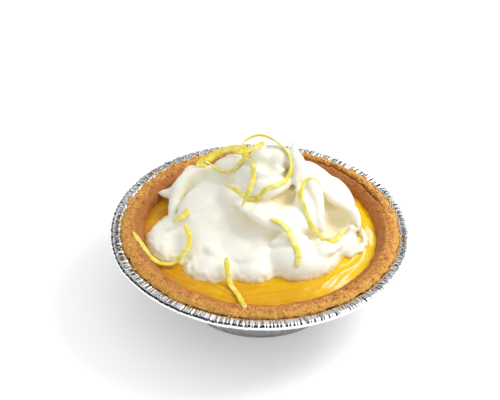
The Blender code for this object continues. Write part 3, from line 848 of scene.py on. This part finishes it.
# %% Zest: one strip
def cut_strip(node, route, width, leans):
    """A strip with bevelled edges that follows its route and rests on what is under it."""
    strip = bmesh.new()
    bmesh.ops.create_cube(strip, size=1)
    lengthways = [edge for edge in strip.edges
                  if abs(edge.verts[0].co.x - edge.verts[1].co.x) > 0.5]
    bmesh.ops.bevel(strip, geom=lengthways, offset=0.22, affect="EDGES", segments=2,
                    profile=0.5, material=-1)
    lengthways = [edge for edge in strip.edges
                  if abs(edge.verts[0].co.x - edge.verts[1].co.x) > 0.5]
    cuts = 12 * (len(route) - 1)
    bmesh.ops.subdivide_edges(strip, edges=lengthways, cuts=cuts, use_grid_fill=True)
    route = [Vector(point) for point in route]
    rest = [along(route, i / (cuts + 1)) for i in range(cuts + 2)]
    for point in rest:
        point.z = max(point.z, bed_height(point) + middle_above_bed)
    for _ in range(3):
        heights = [point.z for point in rest]
        for i in range(1, len(rest) - 1):
            rest[i].z = (heights[i - 1] + 2 * heights[i] + heights[i + 1]) / 4
    for vert in strip.verts:
        t = vert.co.x + 0.5
        middle, side, up = path_frame(rest, t, leans[0] + (leans[1] - leans[0]) * t)
        taper = 0.45 + 0.55 * min(1, math.sin(math.pi * min(max(t, 0), 1)) * 5)
        uneven = 1 + 0.16 * grain(middle * MM, 2.0, 11) + 0.10 * grain(middle * MM, 0.7, 12)
        across = vert.co.y * width * taper * uneven
        above = vert.co.z * zest_thickness
        vert.co = (middle + side * across + up * above) * MM
    bmesh.ops.recalc_face_normals(strip, faces=strip.faces[:])
    return keep_piece(node + "_peel", strip, "zest", node, sharp=70)


# %% Zest: finish
peel = Finish("lemon peel", Roughness=0.42, Subsurface_Weight=0.1, Subsurface_Scale=0.001)
lemon, bright, rind = (0.82, 0.70, 0.06), (0.90, 0.84, 0.28), (0.78, 0.54, 0.02)
colour = peel.blend(peel.ramp(peel.noise(2.4), 0.4, 0.65), lemon, bright)
colour = peel.blend(peel.ramp(peel.noise(1.3, detail=3), 0.55, 0.75, 0, 0.7), colour, rind)
peel.use("Base Color", colour)
peel.bump(peel.noise(0.5), 0.10)
for node, route, width, leans in zest_strips:
    wear(cut_strip(node, route, width, leans), peel)

# %% [markdown]
# ## Floor, light and camera
#
# The pie stands on a white sweep. The floor is white paper: it takes the pie's soft shadow,
# and a little glow that only the camera and reflections see brings the rest of it to plain
# white. One large soft lamp stands high at the right, and the room's light fills the shadows.
# Bright metal shows what is round it, so reflections see a room that is dark towards the
# viewer, bright above, behind and at the right, and crossed by wavy panels. That draws the dark
# and white bands along the crimped rim.

# %% Floor
ground = bmesh.new()
bmesh.ops.create_grid(ground, x_segments=2, y_segments=2, size=2.0)
floor_mesh = bpy.data.meshes.new("floor")
ground.to_mesh(floor_mesh)
ground.free()
floor = bpy.data.objects.new("floor", floor_mesh)
bpy.context.scene.collection.objects.link(floor)
paper = Finish("white paper", Base_Color=(0.86, 0.86, 0.86, 1), Roughness=0.9,
               Specular_IOR_Level=0.1, Emission_Color=(1, 1, 1, 1))
rays = paper.add("ShaderNodeLightPath").outputs
seen = paper.add("ShaderNodeMath", {0: rays["Is Camera Ray"], 1: rays["Is Glossy Ray"]},
                 operation="MAXIMUM")
paper.use("Emission Strength", paper.ramp(seen.outputs[0], 0, 1, 0, 0.33))
wear(floor, paper)

# %% The room's light
world = bpy.data.worlds.new("room")
bpy.context.scene.world = world
world.use_nodes = True
room = Nodes(world.node_tree)
sky = room.tree.nodes["Background"]
sky.inputs["Color"].default_value = (1, 1, 1, 1)
direction = room.add("ShaderNodeTexCoord").outputs["Generated"]
towards = room.add("ShaderNodeSeparateXYZ", {"Vector": direction}).outputs
overhead = room.ramp(towards["Z"], 0.86, 0.98, 0.03, 1)
behind = room.ramp(towards["Y"], 0.1, 0.5)
above_horizon = room.ramp(towards["Z"], 0.3, 0.5, 0.03, 1)
right_side = room.ramp(towards["X"], 0.2, 0.45)
panels = room.add("ShaderNodeTexWave", {"Vector": direction}, Scale=0.75, Distortion=1.5)
panel_light = room.ramp(panels.outputs["Fac"], 0.42, 0.52, 0.01, 1)
walls = room.add("ShaderNodeMath", {0: room.mix(behind, overhead, above_horizon),
                                    1: panel_light}, operation="MULTIPLY")
reflected = room.mix(right_side, walls.outputs[0], 1.0)
rays = room.add("ShaderNodeLightPath").outputs
strength = room.mix(rays["Is Glossy Ray"], 0.80, reflected)
strength = room.mix(rays["Is Camera Ray"], strength, 1.0)
room.tree.links.new(strength, sky.inputs["Strength"])
print("room nodes:", len(room.tree.nodes))

# %% Lamp
lamp_place = Vector((0.46, 0.18, 0.5))
lamp = bpy.data.lights.new("key", "AREA")
lamp.size = 0.30
lamp.energy = 2.7
holder = bpy.data.objects.new("key", lamp)
bpy.context.scene.collection.objects.link(holder)
holder.location = lamp_place
aim = Vector((0, 0, 0.02)) - lamp_place
holder.rotation_euler = aim.to_track_quat("-Z", "Y").to_euler()
print("lamp, watts:", lamp.energy)

# %% Camera
elevation, roll = math.radians(37.44), math.radians(1.25)
distance = 0.5
shift_right, shift_up = -0.0036, 0.0093
target = Vector((0, 0, 0.0252))
view = Vector((0, math.cos(elevation), -math.sin(elevation)))
right_of_view = Vector((1, 0, 0))
up_of_view = right_of_view.cross(view)
camera = bpy.data.cameras.new("camera")
camera.lens = 108.3
camera.sensor_width = 36
camera.clip_start = 0.01
viewer = bpy.data.objects.new("camera", camera)
bpy.context.scene.collection.objects.link(viewer)
viewer.location = target - view * distance
aim = target + right_of_view * shift_right + up_of_view * shift_up - viewer.location
turn = aim.to_track_quat("-Z", "Y") @ Matrix.Rotation(roll, 3, "Z").to_quaternion()
viewer.rotation_euler = turn.to_euler()
bpy.context.scene.camera = viewer
bpy.context.scene.view_settings.view_transform = "Standard"
print("camera lens, mm:", round(camera.lens, 1))
